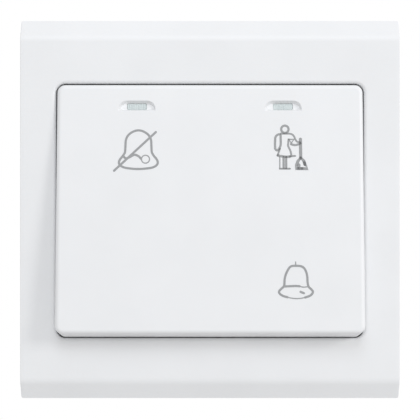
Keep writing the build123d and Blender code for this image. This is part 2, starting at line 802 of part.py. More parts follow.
# Terminal blocks: a wire bore open to the back and a clamp screw from the side
terminals = [
    ("bell_terminal_left", bell_places[0], -1),
    ("bell_terminal_right", bell_places[1], -1),
    ("dnd_terminal", feed_places[0], 1),
    ("common_terminal", feed_places[1], 1),
    ("service_terminal", feed_places[2], 1),
]
for name, place, end in terminals:
    with BuildPart() as terminal:
        with BuildSketch(wall_plane(block_back)):
            with Locations((place, end * terminal_row)):
                Rectangle(block_width, block_height)
        extrude(amount=block_depth)
        chamfer(terminal.edges().filter_by(Axis.Y), length=block_chamfer)
        with BuildSketch(wall_plane(block_back)):
            with Locations((place, end * (terminal_row - wire_bore_shift))):
                Circle(wire_bore_radius)
        extrude(amount=block_depth, mode=Mode.SUBTRACT)
        with BuildSketch(Plane.XY.offset(end * (terminal_row - wire_bore_shift))):
            with Locations((place, -screw_level)):
                Circle(clamp_screw_radius + screw_fit)
        extrude(amount=end * block_height, mode=Mode.SUBTRACT)
        if end > 0:
            with BuildSketch(wall_plane(block_front)):
                with Locations((place, leg_row)):
                    Rectangle(pin_width, pin_thickness)
            extrude(amount=board_front + board_thickness / 2 - block_front)
    save(terminal, name)

# Clamp screws of the terminals
clamp_tip = terminal_row - wire_bore_shift + wire_bore_radius + clamp_screw_gap
clamp_seat = terminal_row + block_height / 2 + clamp_screw_gap
with BuildPart() as terminal_screws:
    for name, place, end in terminals:
        with BuildSketch(Plane.XY.offset(end * clamp_tip)):
            with Locations((place, -screw_level)):
                Circle(clamp_screw_radius)
        extrude(amount=end * (clamp_seat - clamp_tip))
        with BuildSketch(Plane.XY.offset(end * clamp_seat)):
            with Locations((place, -screw_level)):
                Circle(clamp_head_radius)
        extrude(amount=end * clamp_head_height)
        with BuildSketch(Plane.XY.offset(end * (clamp_seat + clamp_head_height))):
            with Locations((place, -screw_level)):
                Rectangle(2 * clamp_head_radius, screw_slot_width)
        extrude(amount=-end * screw_slot_depth, mode=Mode.SUBTRACT)
save(terminal_screws, "terminal_screws")

# Housing screws: from the base through its columns into the cover
with BuildPart() as housing_screws:
    with BuildSketch(wall_plane(-base_depth)):
        with GridLocations(housing_screw_spread, 2 * housing_screw_row, 2, 2):
            Circle(housing_head_radius)
    extrude(amount=-housing_head_height)
    fillet(housing_screws.faces().group_by(Axis.Y)[-1].edges(), radius=housing_head_height / 2)
    with BuildSketch(wall_plane(-base_depth)):
        with GridLocations(housing_screw_spread, 2 * housing_screw_row, 2, 2):
            Circle(housing_screw_radius)
    extrude(amount=base_depth + cover_inside - housing_screw_end_gap)
    with BuildSketch(wall_plane(-base_depth - housing_head_height)):
        with GridLocations(housing_screw_spread, 2 * housing_screw_row, 2, 2):
            Rectangle(housing_head_radius, screw_slot_width)
            Rectangle(screw_slot_width, housing_head_radius)
    extrude(amount=screw_slot_depth, mode=Mode.SUBTRACT)
save(housing_screws, "housing_screws")

# Indicator board with its parts: lights in front, resistors and diodes behind
with BuildPart() as indicator_board:
    board_middle = (board_bottom_row + board_top_row) / 2
    with BuildSketch(wall_plane(board_height_off_wall)):
        with Locations((0, board_middle)):
            RectangleRounded(board_width, board_top_row - board_bottom_row, strip_thickness)
        with Locations(*[(place, leg_row) for place in feed_places]):
            Rectangle(pin_width + 2 * leg_fit, pin_thickness + 2 * leg_fit, mode=Mode.SUBTRACT)
    extrude(amount=board_thickness)
save(indicator_board, "indicator_board")

for name, side in (("dnd_led", -1), ("service_led", 1)):
    with BuildPart() as led:
        with BuildSketch(wall_plane(board_front)):
            with Locations((side * indicator_spread / 2, guide_row - led_drop)):
                Rectangle(led_width, led_height)
        extrude(amount=led_thickness)
        chamfer(led.faces().sort_by(Axis.Y)[0].edges(), length=lead_radius / 2)
    save(led, name)

for name, side in (("dnd_light_guide", -1), ("service_light_guide", 1)):
    with BuildPart() as light_guide:
        with BuildSketch(wall_plane(cover_inside)):
            with Locations((side * indicator_spread / 2, guide_row)):
                Rectangle(guide_width, guide_height)
        extrude(amount=face_height + hinge_stand)
        split(bisect_by=rocker_plane(lens_back - guide_lens_gap), keep=Keep.BOTTOM)
        with BuildSketch(wall_plane(cover_front)):
            with Locations((side * indicator_spread / 2, guide_row)):
                Rectangle(guide_width + 2 * guide_collar, guide_height + 2 * guide_collar)
        extrude(amount=guide_collar_thickness)
    save(light_guide, name)


def save_components(name, body_radius, body_length, row):
    """Save a pair of axial components on the back of the board, with leads bent up to it."""
    axis_height = board_height_off_wall - component_gap - body_radius
    with BuildPart() as components:
        for side in (-1, 1):
            middle = side * component_spread / 2
            with BuildSketch(side_plane(middle)):
                with Locations((axis_height, row)):
                    Circle(body_radius)
            extrude(amount=body_length / 2, both=True)
            for end in (-1, 1):
                lead_root = middle + end * (body_length / 2)
                lead_end = lead_root + end * lead_reach
                with BuildLine() as lead:
                    FilletPolyline(
                        (lead_root, -axis_height, row),
                        (lead_end, -axis_height, row),
                        (lead_end, -board_height_off_wall, row),
                        radius=lead_bend,
                    )
                with BuildSketch(Plane(origin=lead.line @ 0, z_dir=lead.line % 0)):
                    Circle(lead_radius)
                sweep(path=lead.line)
    save(components, name)


save_components("series_resistors", resistor_radius, resistor_length, resistor_row)
save_components("rectifier_diodes", diode_radius, diode_length, diode_row)


def coil_joint(start, start_way, end, end_way):
    """The point where two arcs meet that leave start and reach end along the given directions."""
    chord = end - start
    ways = start_way + end_way
    square = ways.dot(ways) - 4
    linear = -2 * chord.dot(ways)
    reach = (-linear - sqrt(linear**2 - 4 * square * chord.dot(chord))) / (2 * square)
    return (start + start_way * reach + end - end_way * reach) / 2


def least_gap(points, apart):
    """The least gap between stretches of wire whose points lie at least so many points apart."""
    pairs = ((points[i], points[j]) for i in range(len(points)) for j in range(i + apart, len(points)))
    return min((first - second).length for first, second in pairs) - 2 * wire_radius


def save_spring(name, across, up, foot, length, coil_radius, turns):
    """Save a compression spring that stands out from the wall, wound from arcs of a quarter turn."""
    rise = (length - 2 * wire_radius) / (2 * pi * turns)

    def place(angle):
        depth = -foot - wire_radius - rise * angle
        return Vector(across + coil_radius * cos(angle), depth, up + coil_radius * sin(angle))

    def way(angle):
        return Vector(-coil_radius * sin(angle), -rise, coil_radius * cos(angle)).normalized()

    with BuildPart() as spring:
        with BuildLine() as coil:
            for half_turn in range(2 * turns):
                first = half_turn * pi
                last = first + pi
                joint = coil_joint(place(first), way(first), place(last), way(last))
                TangentArc(place(first), joint, tangent=way(first))
                back = TangentArc(place(last), joint, tangent=-way(last), mode=Mode.PRIVATE)
                TangentArc(joint, place(last), tangent=-(back % 1))
        with BuildSketch(Plane(origin=place(0), z_dir=way(0))):
            Circle(wire_radius)
        sweep(path=coil.line)
    samples = 24
    points = [place(2 * pi * step / samples) for step in range(turns * samples + 1)]
    print(name, "least gap to itself", round(least_gap(points, samples // 2), 2), "mm")
    save(spring, name)


return_spring_foot = cover_front - cup_depth + spring_seat_gap
spring_edge_row = return_spring_radius + wire_radius - return_spring_row
return_spring_end = carrier_underside(spring_edge_row, tilt) - spring_seat_gap
for name, side in (("return_spring_left", -1), ("return_spring_right", 1)):
    save_spring(
        name,
        side * return_spring_spread / 2,
        -return_spring_row,
        return_spring_foot,
        return_spring_end - return_spring_foot,
        return_spring_radius,
        return_spring_turns,
    )
plunger_spring_foot = floor_height + spring_seat_gap
save_spring(
    "plunger_spring",
    0.0,
    -plunger_row,
    plunger_spring_foot,
    bridge_back - spring_seat_gap - plunger_spring_foot,
    plunger_spring_radius,
    plunger_spring_turns,
)

print("plunger travel", round(plunger_travel, 3), "mm, hinge height", hinge_height, "mm")
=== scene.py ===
import json
from math import copysign, cos, pi, radians, sin

import bmesh
import bpy
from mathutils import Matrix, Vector


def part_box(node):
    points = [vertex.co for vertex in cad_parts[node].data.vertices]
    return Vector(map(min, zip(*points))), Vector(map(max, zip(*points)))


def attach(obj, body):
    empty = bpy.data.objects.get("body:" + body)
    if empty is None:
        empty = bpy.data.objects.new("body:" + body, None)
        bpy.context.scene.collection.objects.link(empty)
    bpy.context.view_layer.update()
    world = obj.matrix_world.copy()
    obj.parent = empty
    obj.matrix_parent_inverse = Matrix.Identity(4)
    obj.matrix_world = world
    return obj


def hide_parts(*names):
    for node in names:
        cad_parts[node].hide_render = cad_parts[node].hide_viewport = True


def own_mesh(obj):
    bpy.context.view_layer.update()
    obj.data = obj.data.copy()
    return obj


# A doorbell push on its own plate: the wide rocker carries two indicator windows and three printed
# pictograms. Lengths are in metres, in the frame of the CAD model: X to the right, Y into the wall
# and Z up, with the wall plane at Y = 0.

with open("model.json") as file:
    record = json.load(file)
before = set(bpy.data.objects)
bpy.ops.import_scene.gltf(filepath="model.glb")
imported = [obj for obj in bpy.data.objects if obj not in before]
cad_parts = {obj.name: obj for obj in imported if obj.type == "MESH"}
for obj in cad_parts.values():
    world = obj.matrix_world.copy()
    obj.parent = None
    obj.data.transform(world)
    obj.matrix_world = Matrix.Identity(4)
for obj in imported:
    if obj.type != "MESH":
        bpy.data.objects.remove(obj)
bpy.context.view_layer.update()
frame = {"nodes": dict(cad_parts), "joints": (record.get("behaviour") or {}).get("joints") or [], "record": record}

MM = 0.001
ACROSS = Vector((1, 0, 0))
nodes = frame["nodes"]
joints = {joint["name"]: joint for joint in frame["joints"]}

# The photograph's view, in which the plate's 86 mm are 380 pixels wide
IMAGE_WIDTH = 420
PIXELS_PER_MM = 380 / 86
VIEW_DISTANCE = 290 * MM
VIEW_LEFT_OF_CENTRE = 1.4 * MM
PLATE_MIDDLE_ROW = 209.5
SENSOR_WIDTH = 36.0
CLIP_START = 10 * MM

# A face looks at the room if its normal's Y is below this
TOWARDS_ROOM = -0.9

# Lower wall of the rocker's cap in the CAD model: its place below the hinge, the roundings at its
# ends and at its front, and its depth
ROCKER_FOOT = -28.45 * MM
ROCKER_CORNER = 1.8 * MM
ROCKER_EDGE = 1.0 * MM
ROCKER_SKIRT = 7.0 * MM

# How far that wall spreads at the back and how far all of it is lifted
DRAFT = 0.74 * MM
FRONT_LIFT = 0.2 * MM

# Roundings of the surround's corners and rim in the CAD model, the slope of its bevels, and the
# power of the nearly square curve that takes the place of the circle
RIM_CORNER = 1.5 * MM
RIM_EDGE = 0.8 * MM
BEVEL_SLOPE = 0.54
SQUARENESS = 8

# Printed pictograms, in millimetres on the rocker's face
INK_HEIGHT = 0.02
STROKE = 0.5
FINE_STROKE = 0.42
HEM_STROKE = 0.56
BOLD_STROKE = 0.7
FAINT_STROKE = 0.26
CROSSED_BELL_PLACE = (-16.5, 12.9)
CLEANER_PLACE = (18.22, 13.6)
BELL_PLACE = (19.12, -16.6)
SMOOTH_STEPS = 6
CAP_STEPS = 8
RING_STEPS = 28

# Springs: the last turn at either end is wound close, with this rise in wire radii
WIRE_RADIUS = 0.2 * MM
SPRING_TURNS = 6
CLOSE_TURNS = 1.0
CLOSE_RISE = 2.4
TURN_STEPS = 40
WIRE_SIDES = 12

# Textures: the size of the slow change of tone in moulded plastic, how far apart the bands of a wave
# texture are at scale 1, and the refractive index of acrylic
FLOW_SIZE = 14 * MM
WAVE_REPEAT = 0.3
ACRYLIC_IOR = 1.49

# Studio
AMBIENT = 0.65
FLOOR_LEVEL = -0.45
FLOOR_RADIUS = 1.1
FLOOR_FADE_START = 0.3
FLOOR_STEPS = 64


# Materials


def material(name):
    """A new material with its node tree and its shader."""
    made = bpy.data.materials.new(name)
    made.use_nodes = True
    tree = made.node_tree
    return made, tree, tree.nodes["Principled BSDF"]


def place_of(tree):
    """The position on the object, which the textures below follow."""
    return tree.nodes.new("ShaderNodeTexCoord").outputs["Object"]


def stretched(tree, place, scale):
    """The position with each axis scaled by its own factor."""
    mapping = tree.nodes.new("ShaderNodeMapping")
    mapping.inputs["Scale"].default_value = scale
    tree.links.new(place, mapping.inputs["Vector"])
    return mapping.outputs["Vector"]


def noise(tree, place, size, detail=3.0, rough=0.5):
    """Cloudy noise whose lumps are about this many metres across."""
    node = tree.nodes.new("ShaderNodeTexNoise")
    node.inputs["Scale"].default_value = 1.0 / size
    node.inputs["Detail"].default_value = detail
    node.inputs["Roughness"].default_value = rough
    tree.links.new(place, node.inputs["Vector"])
    return node.outputs["Fac"]


def bands(tree, place, spacing, profile="SIN"):
    """Bands across X that repeat after about this many metres."""
    node = tree.nodes.new("ShaderNodeTexWave")
    node.wave_type = "BANDS"
    node.bands_direction = "X"
    node.wave_profile = profile
    node.inputs["Scale"].default_value = WAVE_REPEAT / spacing
    tree.links.new(place, node.inputs["Vector"])
    return node.outputs["Fac"]


def between(tree, factor, low, high, start=0.3, end=0.7):
    """A value that runs from low to high while the factor goes from start to end."""
    node = tree.nodes.new("ShaderNodeMapRange")
    node.inputs["From Min"].default_value = start
    node.inputs["From Max"].default_value = end
    node.inputs["To Min"].default_value = low
    node.inputs["To Max"].default_value = high
    tree.links.new(factor, node.inputs["Value"])
    return node.outputs["Result"]


def colours(tree, factor, low, high, start=0.3, end=0.7):
    """A colour that runs from low to high while the factor goes from start to end."""
    ramp = tree.nodes.new("ShaderNodeValToRGB")
    first, last = ramp.color_ramp.elements
    first.position, first.color = start, (*low, 1)
    last.position, last.color = end, (*high, 1)
    tree.links.new(factor, ramp.inputs["Fac"])
    return ramp.outputs["Color"]


def bump(tree, height, depth, under=None):
    """A normal raised by the height over this many metres, on top of another bump if there is one."""
    node = tree.nodes.new("ShaderNodeBump")
    node.inputs["Strength"].default_value = 1.0
    node.inputs["Distance"].default_value = depth
    tree.links.new(height, node.inputs["Height"])
    if under is not None:
        tree.links.new(under, node.inputs["Normal"])
    return node.outputs["Normal"]


def moulded(name, low, high, rough, grain_size, grain_depth, glow=0.0):
    """Moulded plastic: a slow change of tone and gloss, with the fine grain of the tool."""
    made, tree, shader = material(name)
    place = place_of(tree)
    flow = noise(tree, place, FLOW_SIZE, detail=2.0)
    grain = noise(tree, place, grain_size, detail=2.0, rough=0.6)
    tree.links.new(colours(tree, flow, low, high), shader.inputs["Base Color"])
    tree.links.new(between(tree, flow, *rough), shader.inputs["Roughness"])
    tree.links.new(bump(tree, grain, grain_depth), shader.inputs["Normal"])
    shader.inputs["Specular IOR Level"].default_value = 0.4
    if glow:
        shader.inputs["Subsurface Weight"].default_value = glow
        shader.inputs["Subsurface Radius"].default_value = (1.0, 0.95, 0.9)
        shader.inputs["Subsurface Scale"].default_value = 0.6 * MM
    return made


def metal(name, low, high, rough, brushed, scratch_depth):
    """Drawn or machined metal, with fine lines along one way and a slow tarnish."""
    made, tree, shader = material(name)
    place = place_of(tree)
    lines = noise(tree, stretched(tree, place, brushed), 0.12 * MM, rough=0.7)
    tarnish = noise(tree, place, 2.5 * MM, detail=4.0)
    tree.links.new(colours(tree, tarnish, low, high), shader.inputs["Base Color"])
    tree.links.new(between(tree, lines, *rough), shader.inputs["Roughness"])
    tree.links.new(bump(tree, lines, scratch_depth), shader.inputs["Normal"])
    shader.inputs["Metallic"].default_value = 1.0
    return made


def lens_plastic():
    """Translucent grey-green lens with fine upright prisms in its surface."""
    made, tree, shader = material("lens")
    place = place_of(tree)
    prisms = bands(tree, place, 0.5 * MM, profile="TRI")
    depth = noise(tree, place, 1.6 * MM, detail=2.0)
    tint = colours(tree, depth, (0.465, 0.525, 0.522), (0.545, 0.605, 0.60))
    tree.links.new(tint, shader.inputs["Base Color"])
    tree.links.new(between(tree, depth, 0.12, 0.2), shader.inputs["Roughness"])
    tree.links.new(bump(tree, prisms, 0.03 * MM), shader.inputs["Normal"])
    shader.inputs["IOR"].default_value = ACRYLIC_IOR
    shader.inputs["Coat Weight"].default_value = 0.3
    return made


def clear_plastic():
    """Clear moulded light guide, a little cloudy inside."""
    made, tree, shader = material("clear_plastic")
    cloud = noise(tree, place_of(tree), 1.0 * MM)
    tint = colours(tree, cloud, (0.74, 0.79, 0.80), (0.84, 0.88, 0.89))
    tree.links.new(tint, shader.inputs["Base Color"])
    tree.links.new(between(tree, cloud, 0.08, 0.2), shader.inputs["Roughness"])
    shader.inputs["Transmission Weight"].default_value = 0.6
    shader.inputs["IOR"].default_value = ACRYLIC_IOR
    return made


def board_laminate():
    """Green solder mask over glass cloth, with the tracks showing as a lighter pattern."""
    made, tree, shader = material("circuit_board")
    place = place_of(tree)
    tracks = tree.nodes.new("ShaderNodeTexBrick")
    tracks.inputs["Scale"].default_value = 1.0 / (9 * MM)
    tracks.inputs["Mortar Size"].default_value = 0.05
    tracks.inputs["Mortar Smooth"].default_value = 0.1
    tracks.inputs["Color1"].default_value = (0.022, 0.105, 0.045, 1)
    tracks.inputs["Color2"].default_value = (0.026, 0.125, 0.052, 1)
    tracks.inputs["Mortar"].default_value = (0.07, 0.24, 0.10, 1)
    turned = tree.nodes.new("ShaderNodeMapping")
    turned.inputs["Rotation"].default_value = (radians(90), 0, 0)
    tree.links.new(place, turned.inputs["Vector"])
    tree.links.new(turned.outputs["Vector"], tracks.inputs["Vector"])
    cloth = noise(tree, stretched(tree, place, (1, 1, 3)), 0.3 * MM, detail=2.0)
    tree.links.new(tracks.outputs["Color"], shader.inputs["Base Color"])
    tree.links.new(between(tree, cloth, 0.25, 0.4), shader.inputs["Roughness"])
    raised = bump(tree, tracks.outputs["Fac"], 0.03 * MM)
    tree.links.new(bump(tree, cloth, 0.01 * MM, raised), shader.inputs["Normal"])
    return made


def banded_resistor():
    """Sand-coloured lacquer with generic colour rings along the body."""
    made, tree, shader = material("resistor_body")
    place = place_of(tree)
    rings = bands(tree, place, 1.4 * MM)
    paint = colours(tree, rings, (0.20, 0.05, 0.03), (0.52, 0.38, 0.20), start=0.05, end=0.12)
    tree.links.new(paint, shader.inputs["Base Color"])
    lacquer = noise(tree, place, 0.4 * MM)
    tree.links.new(between(tree, lacquer, 0.3, 0.45), shader.inputs["Roughness"])
    tree.links.new(bump(tree, lacquer, 0.01 * MM), shader.inputs["Normal"])
    return made


def printed_ink():
    """Grey pad-printed ink, slightly uneven where it lies on the grain."""
    made, tree, shader = material("printed_ink")
    cover = noise(tree, place_of(tree), 0.25 * MM, rough=0.7)
    tint = colours(tree, cover, (0.295, 0.30, 0.305), (0.365, 0.37, 0.375))
    tree.links.new(tint, shader.inputs["Base Color"])
    tree.links.new(between(tree, cover, 0.45, 0.6), shader.inputs["Roughness"])
    tree.links.new(bump(tree, cover, 0.004 * MM), shader.inputs["Normal"])
    return made


materials = {
    "white_plastic": moulded(
        "white_plastic",
        low=(0.828, 0.833, 0.842),
        high=(0.848, 0.853, 0.862),
        rough=(0.34, 0.42),
        grain_size=0.35 * MM,
        grain_depth=0.004 * MM,
        glow=0.08,
    ),
    "grey_plastic": moulded(
        "grey_plastic",
        low=(0.50, 0.505, 0.50),
        high=(0.56, 0.565, 0.56),
        rough=(0.45, 0.6),
        grain_size=0.3 * MM,
        grain_depth=0.012 * MM,
    ),
    "nylon": moulded(
        "nylon",
        low=(0.70, 0.69, 0.65),
        high=(0.77, 0.76, 0.72),
        rough=(0.4, 0.5),
        grain_size=0.5 * MM,
        grain_depth=0.008 * MM,
        glow=0.2,
    ),
    "lens": lens_plastic(),
    "clear_plastic": clear_plastic(),
    "brass": metal(
        "brass",
        low=(0.62, 0.44, 0.17),
        high=(0.80, 0.60, 0.28),
        rough=(0.22, 0.38),
        brushed=(1, 12, 1),
        scratch_depth=0.004 * MM,
    ),
    "silver": metal(
        "silver",
        low=(0.74, 0.73, 0.71),
        high=(0.86, 0.85, 0.83),
        rough=(0.18, 0.3),
        brushed=(1, 1, 1),
        scratch_depth=0.002 * MM,
    ),
    "steel": metal(
        "steel",
        low=(0.50, 0.51, 0.53),
        high=(0.66, 0.67, 0.69),
        rough=(0.25, 0.42),
        brushed=(1, 6, 1),
        scratch_depth=0.004 * MM,
    ),
    "spring_steel": metal(
        "spring_steel",
        low=(0.42, 0.42, 0.43),
        high=(0.58, 0.58, 0.59),
        rough=(0.2, 0.32),
        brushed=(8, 1, 1),
        scratch_depth=0.003 * MM,
    ),
    "circuit_board": board_laminate(),
    "led_body": moulded(
        "led_body",
        low=(0.78, 0.74, 0.50),
        high=(0.86, 0.82, 0.6),
        rough=(0.2, 0.3),
        grain_size=0.4 * MM,
        grain_depth=0.003 * MM,
    ),
    "resistor_body": banded_resistor(),
    "diode_body": moulded(
        "diode_body",
        low=(0.012, 0.012, 0.014),
        high=(0.022, 0.022, 0.024),
        rough=(0.3, 0.45),
        grain_size=0.2 * MM,
        grain_depth=0.006 * MM,
    ),
}


def dress_nodes():
    """Every CAD node gets the full material of its slot in the record."""
    for part in frame["record"]["subparts"]:
        for slot in nodes[part["node"]].material_slots:
            slot.material = materials[part["material_slot"]]


# Shapes


def new_piece(name, mesh_data, body, slot, finish=None):
    """An object that rides on a body, in the material of its slot unless it has a finish of its own."""
    piece = bpy.data.objects.new(name, mesh_data)
    bpy.context.collection.objects.link(piece)
    piece.data.materials.clear()
    piece.data.materials.append(finish or materials[slot])
    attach(piece, body)
    return piece


def reshaped_copy(node, name):
    """A copy of a CAD node's mesh, to be reshaped and then stand for the node."""
    mesh = nodes[node].data.copy()
    mesh.name = name
    return mesh


def rocker_face():
    """The rocker's face as its point in front of the hinge, its upward way and its outward way."""
    cover = nodes["rocker_cover"].data
    facing = [polygon for polygon in cover.polygons if polygon.normal.y < TOWARDS_ROOM]
    outward = max(facing, key=lambda polygon: polygon.area).normal.normalized()
    hinge = Vector(joints["rocker_press"]["pos_m"])
    reach = max((vertex.co - hinge).dot(outward) for vertex in cover.vertices)
    upward = outward.cross(ACROSS)
    return hinge + outward * reach, upward, outward


def drafted_rocker():
    """The rocker's cap with its lower wall drafted: a little lifted, and spread towards the back."""
    origin, upward, outward = rocker_face()
    mesh = reshaped_copy("rocker_cover", "rocker_cap")
    for vertex in mesh.vertices:
        place = vertex.co - origin
        beyond = min(max((ROCKER_FOOT + ROCKER_CORNER - place.dot(upward)) / ROCKER_CORNER, 0), 1)
        behind = min(max((-ROCKER_EDGE - place.dot(outward)) / (ROCKER_SKIRT - ROCKER_EDGE), 0), 1)
        vertex.co -= upward * ((DRAFT * behind - FRONT_LIFT) * beyond)
    cap = new_piece("rocker_cap", mesh, "rocker", "white_plastic")
    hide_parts("rocker_cover")


def crisp_surround():
    """The surround with its front rim and its corners nearly square, as the photograph has them."""
    low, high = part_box("surround_frame")
    half = high.x
    mesh = reshaped_copy("surround_frame", "surround_plate")
    normals = [corner_normal.vector.copy() for corner_normal in mesh.corner_normals]
    reshaped = set()
    for vertex in mesh.vertices:
        in_front = vertex.co.y < low.y / 2
        # How far the vertex is past the line where the corner's rounding starts, along X and along Z
        past = Vector((abs(vertex.co.x) - half + RIM_CORNER, abs(vertex.co.z) - half + RIM_CORNER))
        reach = past.y
        in_corner = min(past) > 0
        if in_corner:
            outward, inside = past.normalized(), RIM_CORNER - past.length
        else:
            outward = Vector((1, 0)) if past.x > past.y else Vector((0, 1))
            inside = RIM_CORNER - max(past)
        # The rim's rounding, in section
        round_part = 1 - inside / RIM_EDGE
        if in_front and 0 < round_part < 1:
            square_part = (1 - (1 - round_part**2) ** (SQUARENESS / 2)) ** (1 / SQUARENESS)
            past += outward * ((square_part - round_part) * RIM_EDGE)
            reshaped.add(vertex.index)
        # The corner's rounding, in the plan
        if in_corner:
            along = past.normalized()
            past /= (along.x**SQUARENESS + along.y**SQUARENESS) ** (1 / SQUARENESS)
            reshaped.add(vertex.index)
        # What moves up or down in front stays on the slope of its bevel
        if in_front:
            vertex.co.y += BEVEL_SLOPE * (past.y - reach)
        vertex.co.x = copysign(past.x + half - RIM_CORNER, vertex.co.x)
        vertex.co.z = copysign(past.y + half - RIM_CORNER, vertex.co.z)
    mesh.update()
    # Where vertices were reshaped, each face is shaded with its own normal
    for polygon in mesh.polygons:
        for loop in polygon.loop_indices:
            if mesh.loops[loop].vertex_index in reshaped:
                normals[loop] = polygon.normal.copy()
    mesh.normals_split_custom_set(normals)
    plate = new_piece("surround_plate", mesh, "housing", "white_plastic")
    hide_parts("surround_frame")


# Pictograms


def curve_through(points, closed):
    """Points along a smooth curve through the given ones, in order."""
    count = len(points)
    spans = count if closed else count - 1
    result = []
    for span in range(spans):
        around = [span - 1, span, span + 1, span + 2]
        if closed:
            around = [index % count for index in around]
        else:
            around = [min(max(index, 0), count - 1) for index in around]
        before, start, end, after = (Vector(points[index]) for index in around)
        for step in range(SMOOTH_STEPS):
            t = step / SMOOTH_STEPS
            result.append(
                0.5
                * (
                    2 * start
                    + (end - before) * t
                    + (2 * before - 5 * start + 4 * end - after) * t**2
                    + (3 * start - before - 3 * end + after) * t**3
                )
            )
    if not closed:
        result.append(Vector(points[-1]))
    return result


def stroke_mesh(points, width, closed=False, smooth=True):
    """A flat pen stroke with round ends as a thin closed solid, half of it below the face."""
    path = curve_through(points, closed) if smooth else [Vector(point) for point in points]
    count = len(path)
    left, right = [], []
    for index, point in enumerate(path):
        before = path[(index - 1) % count] if closed else path[max(index - 1, 0)]
        after = path[(index + 1) % count] if closed else path[min(index + 1, count - 1)]
        along = (after - before).normalized()
        square = Vector((-along.y, along.x)) * (width / 2)
        left.append(point + square)
        right.append(point - square)
    shape = bmesh.new()

    def pair(flat):
        """A point of the outline at the underside and at the top of the ink."""
        return [shape.verts.new((flat.x, flat.y, level)) for level in (-INK_HEIGHT, INK_HEIGHT)]

    lefts = [pair(flat) for flat in left]
    rights = [pair(flat) for flat in right]
    for index in range(count if closed else count - 1):
        after = (index + 1) % count
        a, b, c, d = lefts[index], lefts[after], rights[after], rights[index]
        shape.faces.new((a[1], d[1], c[1], b[1]))
        shape.faces.new((a[0], b[0], c[0], d[0]))
        shape.faces.new((a[0], a[1], b[1], b[0]))
        shape.faces.new((c[0], c[1], d[1], d[0]))
    if not closed:
        for centre, rim, first, last in (
            (path[0], left[0], lefts[0], rights[0]),
            (path[-1], right[-1], rights[-1], lefts[-1]),
        ):
            radius = rim - centre
            cap = [first]
            for step in range(1, CAP_STEPS):
                angle = pi * step / CAP_STEPS
                turned = Vector(
                    (
                        radius.x * cos(angle) - radius.y * sin(angle),
                        radius.x * sin(angle) + radius.y * cos(angle),
                    )
                )
                cap.append(pair(centre + turned))
            cap.append(last)
            shape.faces.new([point[1] for point in cap])
            shape.faces.new([point[0] for point in reversed(cap)])
            for one, two in zip(cap, cap[1:]):
                shape.faces.new((one[0], two[0], two[1], one[1]))
    bmesh.ops.recalc_face_normals(shape, faces=shape.faces)
    made = bpy.data.meshes.new("stroke")
    shape.to_mesh(made)
    shape.free()
    return made


def line(points, width):
    """A stroke of straight lines."""
    return stroke_mesh(points, width, smooth=False)


def ring(centre, radius, width):
    """A circular stroke."""
    angles = [2 * pi * step / RING_STEPS for step in range(RING_STEPS)]
    points = [(centre[0] + radius * cos(angle), centre[1] + radius * sin(angle)) for angle in angles]
    return stroke_mesh(points, width, closed=True, smooth=False)


def mirrored(half, middle):
    """A closed outline from its right half, listed from the top down, about this line across."""
    whole = half + [(-x, y) for x, y in reversed(half[1:-1])]
    return [(x + middle, y) for x, y in whole]


def joined(strokes, name):
    """One mesh that is the union of the strokes."""
    pieces = [bpy.data.objects.new("stroke", stroke) for stroke in strokes]
    for piece in pieces:
        bpy.context.collection.objects.link(piece)
    body = pieces[0]
    for other in pieces[1:]:
        union = body.modifiers.new("union", "BOOLEAN")
        union.operation = "UNION"
        union.solver = "EXACT"
        union.object = other
    bpy.context.view_layer.update()
    whole = bpy.data.meshes.new_from_object(body.evaluated_get(bpy.context.evaluated_depsgraph_get()))
    whole.name = name
    for piece in pieces:
        bpy.data.objects.remove(piece)
    return whole


def print_on_rocker(name, strokes, place, ink):
    """Print a pictogram on the rocker, with its own middle at this place on the face, in millimetres."""
    origin, upward, outward = rocker_face()
    across, up = place
    mesh = joined(strokes, name)
    for vertex in mesh.vertices:
        flat = vertex.co.copy()
        vertex.co = (
            origin
            + ACROSS * ((across + flat.x) * MM)
            + upward * ((up + flat.y) * MM)
            + outward * (flat.z * MM)
        )
    new_piece(name, mesh, "rocker", "grey_plastic", finish=ink)


def bell():
    """A bell with a knob, the rear rim of its mouth and the end of its clapper."""
    outline = [
        (-1.9, -3.55),
        (-2.9, -3.25),
        (-3.65, -2.75),
        (-3.75, -2.2),
        (-3.2, -1.6),
        (-2.65, -1.0),
        (-2.5, 0.6),
        (-2.05, 2.0),
        (-1.2, 3.25),
        (0.1, 3.45),
        (1.4, 3.25),
        (2.1, 2.5),
        (2.5, 1.2),
        (2.58, -0.2),
        (2.8, -1.2),
        (3.4, -1.8),
        (3.75, -2.4),
        (3.2, -3.15),
        (2.0, -3.6),
    ]
    front_rim = [(-1.9, -3.55), (-1.0, -3.75), (0.0, -3.85), (1.0, -3.8), (2.0, -3.6)]
    rear_rim = [(-2.6, -1.15), (-1.4, -1.1), (0.0, -1.05), (0.8, -1.12)]
    rear_rim_end = [(0.7, -1.1), (1.6, -1.3), (2.7, -1.2)]
    knob = [(-0.05, 3.6), (-0.05, 4.3)]
    clapper = [(1.0, -2.35), (1.75, -2.65)]
    return [
        stroke_mesh(outline, STROKE),
        stroke_mesh(front_rim, FAINT_STROKE),
        line(knob, FAINT_STROKE),
        stroke_mesh(rear_rim, STROKE),
        stroke_mesh(rear_rim_end, FAINT_STROKE),
        line(clapper, STROKE),
    ]


